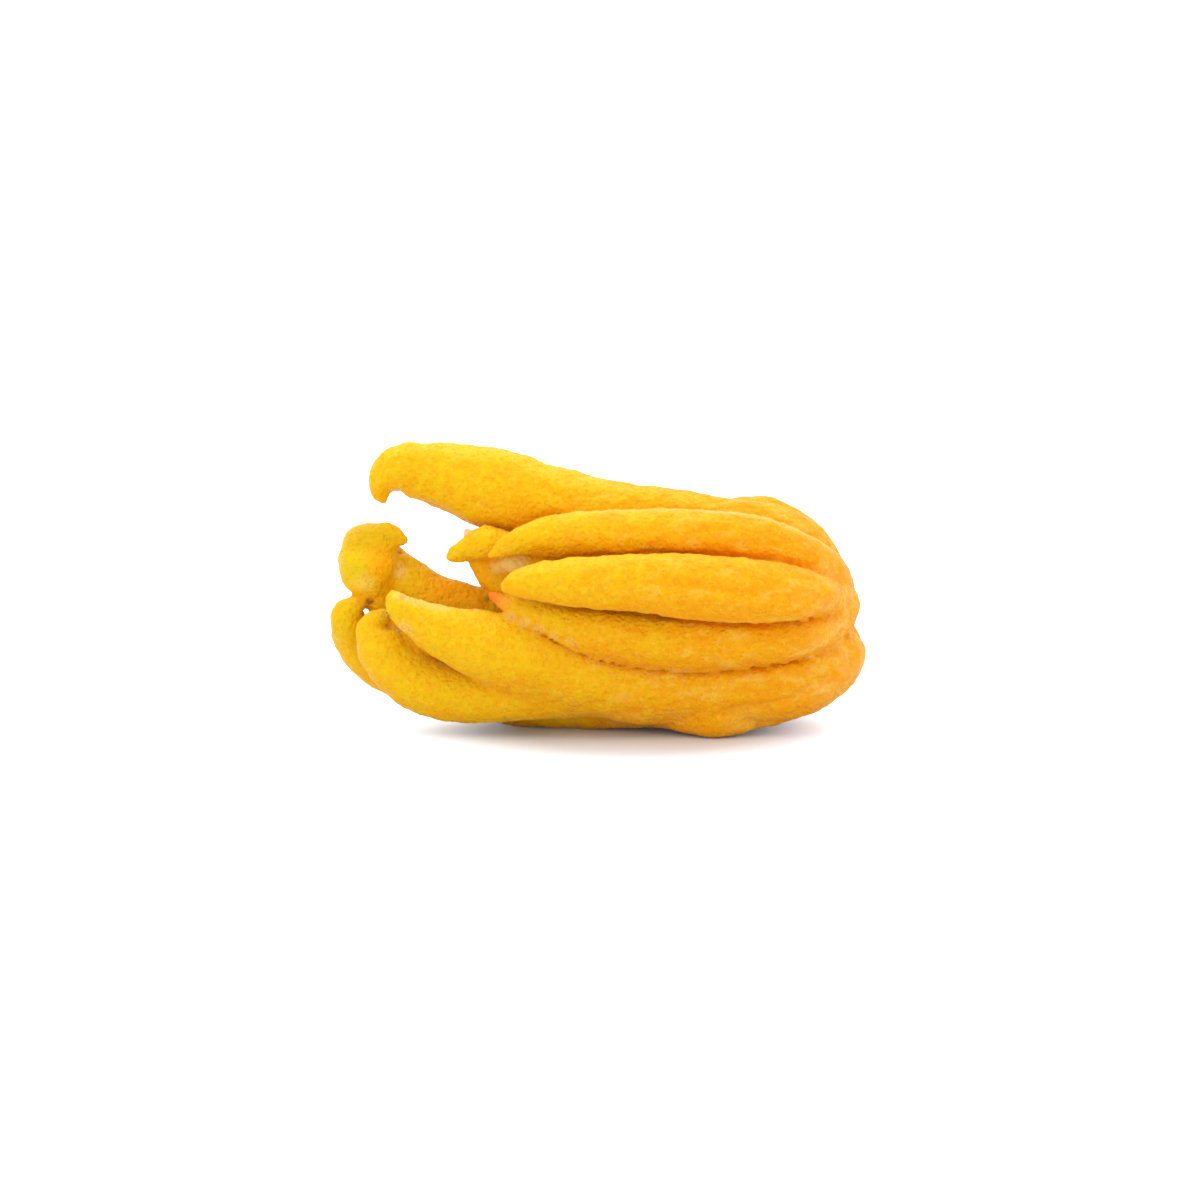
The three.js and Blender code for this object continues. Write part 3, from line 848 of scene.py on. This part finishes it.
def roughen(fruit):
    s = settings()
    heights = {"swellings": s.swell, "lumps": s.lump, "pimples": s.pimple}
    for name, grain in BUMPS.items():
        add_modifier(fruit, "DISPLACE", texture=clouds(name, grain, 2),
                     texture_coords="LOCAL", strength=heights[name], mid_level=0.5)


def settle(fruit):
    """Hollows the stem end for the button and sets the fruit down in the frame."""
    for v in fruit.data.vertices:
        out = math.hypot(v.co.y - STEM.y, v.co.z - STEM.z)
        if v.co.x > 0 and out < DIMPLE * MM:
            seat = STEM.x + (BELL * ramp(out, SEAT * MM, DIMPLE * MM) - SINK) * MM
            v.co.x = min(v.co.x, seat)
        v.co += ORIGIN
        v.co.z = max(v.co.z, 0.0)


class CITRON_OT_fruit(bpy.types.Operator):
    """Fingers and palm as one skin of lumpy yellow peel"""

    bl_idname = "citron.fruit"
    bl_label = "Build fruit"

    def execute(self, context):
        fruit = grow_skin()
        press_folds(fruit)
        roughen(fruit)
        settle(fruit)
        store_folds(fruit)
        store_rim_highlights(fruit)
        add_modifier(fruit, "DECIMATE", ratio=THINNED)
        only(fruit)
        bpy.ops.object.shade_smooth()
        fruit.data.materials.clear()
        fruit.data.materials.append(peel_material(fruit))
        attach(fruit, "root")
        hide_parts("fruit")
        return {"FINISHED"}


def step_in(inward, outward):
    """Insets the selected face and moves it along the stem."""
    bpy.ops.mesh.inset(thickness=inward * MM)
    bpy.ops.transform.translate(value=(outward * MM, 0, 0))


def draw_button(place):
    """A disc with a shoulder, and the stalk's stub with a raised pith in its cut end."""
    deselect_all()
    bpy.ops.mesh.primitive_cylinder_add(
        vertices=30, radius=DISC_RADIUS * MM, depth=DISC_DEPTH * MM,
        location=place, rotation=(0, math.pi / 2, 0))
    button = bpy.context.object
    button.name = button.data.name = "stem_calyx"
    bpy.ops.object.transform_apply(location=True, rotation=True, scale=True)
    bpy.ops.object.mode_set(mode="EDIT")
    bpy.ops.mesh.select_all(action="DESELECT")
    bpy.ops.object.mode_set(mode="OBJECT")
    max(button.data.polygons, key=lambda p: p.center.x).select = True
    bpy.ops.object.mode_set(mode="EDIT")
    bpy.ops.mesh.select_mode(type="FACE")
    step_in(*SHOULDER)
    bpy.ops.mesh.inset(thickness=STUB_IN * MM)
    bpy.ops.mesh.extrude_region_move(TRANSFORM_OT_translate={"value": (STUB_OUT * MM, 0, 0)})
    step_in(*CUT_RIM)
    step_in(*PITH)
    bpy.ops.object.mode_set(mode="OBJECT")
    return button


def lobe(button, centre):
    """Draws the disc's edge out into lobes."""
    for v in button.data.vertices:
        out = Vector((0, v.co.y - centre.y, v.co.z - centre.z))
        if out.length > LOBE_FROM * MM:
            a = math.atan2(out.z, out.y)
            v.co += out * LOBE_BY * (math.cos(LOBES * a) - LOBE_IN)


class CITRON_OT_stem(bpy.types.Operator):
    """Dry calyx and the cut end of the stalk"""

    bl_idname = "citron.stem"
    bl_label = "Build stem button"

    def execute(self, context):
        low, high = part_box("stem_button")
        centre = (Vector(low) + Vector(high)) / 2
        button = draw_button(Vector((low[0] + DISC_MIDDLE * MM, centre.y, centre.z)))
        lobe(button, centre)
        add_modifier(button, "BEVEL", width=DISC_BEVEL * MM, segments=2)
        add_modifier(button, "SUBSURF", levels=2, render_levels=2)
        add_modifier(button, "DISPLACE", texture=clouds("bark", BARK_GRAIN, 3),
                     texture_coords="LOCAL", strength=BARK_HEIGHT, mid_level=0.5)
        only(button)
        bpy.ops.object.shade_smooth()
        button.data.materials.append(wood_material())
        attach(button, "root")
        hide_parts("stem_button")
        return {"FINISHED"}


# ---------------------------------------------------------------- stage


def aim(obj, target):
    obj.rotation_euler = (Vector(target) - obj.location).to_track_quat("-Z", "Y").to_euler()


def draw_table():
    deselect_all()
    bpy.ops.mesh.primitive_plane_add(size=TABLE_SIZE)
    floor = bpy.context.object
    floor.name = "floor"
    floor.data.materials.append(table_material())


def set_light(scene):
    world = bpy.data.worlds.new("studio")
    world.use_nodes = True
    net = Net(world.node_tree)
    back = world.node_tree.nodes["Background"]
    back.inputs["Color"].default_value = (1, 1, 1, 1)
    seen = net.node("ShaderNodeLightPath").outputs["Is Camera Ray"]
    net.put(back.inputs["Strength"], net.math("MULTIPLY_ADD", seen, SKY_SEEN, SKY))
    scene.world = world
    sun = bpy.data.lights.new("ceiling", "SUN")
    sun.energy = SUN_POWER
    sun.angle = math.radians(SUN_SOFT)
    ceiling = bpy.data.objects.new("ceiling", sun)
    scene.collection.objects.link(ceiling)
    ceiling.location = SUN_AT
    aim(ceiling, SUN_TO)
    scene.view_settings.view_transform = "Standard"


def set_camera(scene):
    lens = bpy.data.cameras.new("camera")
    lens.lens = LENS
    lens.sensor_width = SENSOR
    lens.clip_start, lens.clip_end = 0.01, 20
    camera = bpy.data.objects.new("camera", lens)
    scene.collection.objects.link(camera)
    target = Vector(AIM_AT) * MM + ORIGIN
    up = math.radians(CAMERA_UP)
    camera.location = target + Vector((0, -math.cos(up), math.sin(up))) * CAMERA_AWAY
    aim(camera, target)
    scene.camera = camera


class CITRON_OT_stage(bpy.types.Operator):
    """White table, soft studio light and camera"""

    bl_idname = "citron.stage"
    bl_label = "Build stage"

    def execute(self, context):
        draw_table()
        set_light(context.scene)
        set_camera(context.scene)
        return {"FINISHED"}


# ---------------------------------------------------------------- panel


class CITRON_PT_panel(bpy.types.Panel):
    bl_label = "Citron"
    bl_idname = "CITRON_PT_panel"
    bl_space_type = "VIEW_3D"
    bl_region_type = "UI"
    bl_category = "Citron"

    def draw(self, context):
        column = self.layout.column()
        for name in CitronSettings.__annotations__:
            column.prop(context.scene.citron, name)
        for step in STEPS:
            column.operator(step.bl_idname)


STEPS = (CITRON_OT_fruit, CITRON_OT_stem, CITRON_OT_stage)
CLASSES = (CitronSettings, *STEPS, CITRON_PT_panel)


def register():
    for cls in CLASSES:
        bpy.utils.register_class(cls)
    bpy.types.Scene.citron = PointerProperty(type=CitronSettings)


def unregister():
    del bpy.types.Scene.citron
    for cls in reversed(CLASSES):
        bpy.utils.unregister_class(cls)


def main():
    register()
    bpy.ops.citron.fruit()
    bpy.ops.citron.stem()
    bpy.ops.citron.stage()


if __name__ == "__main__":
    main()
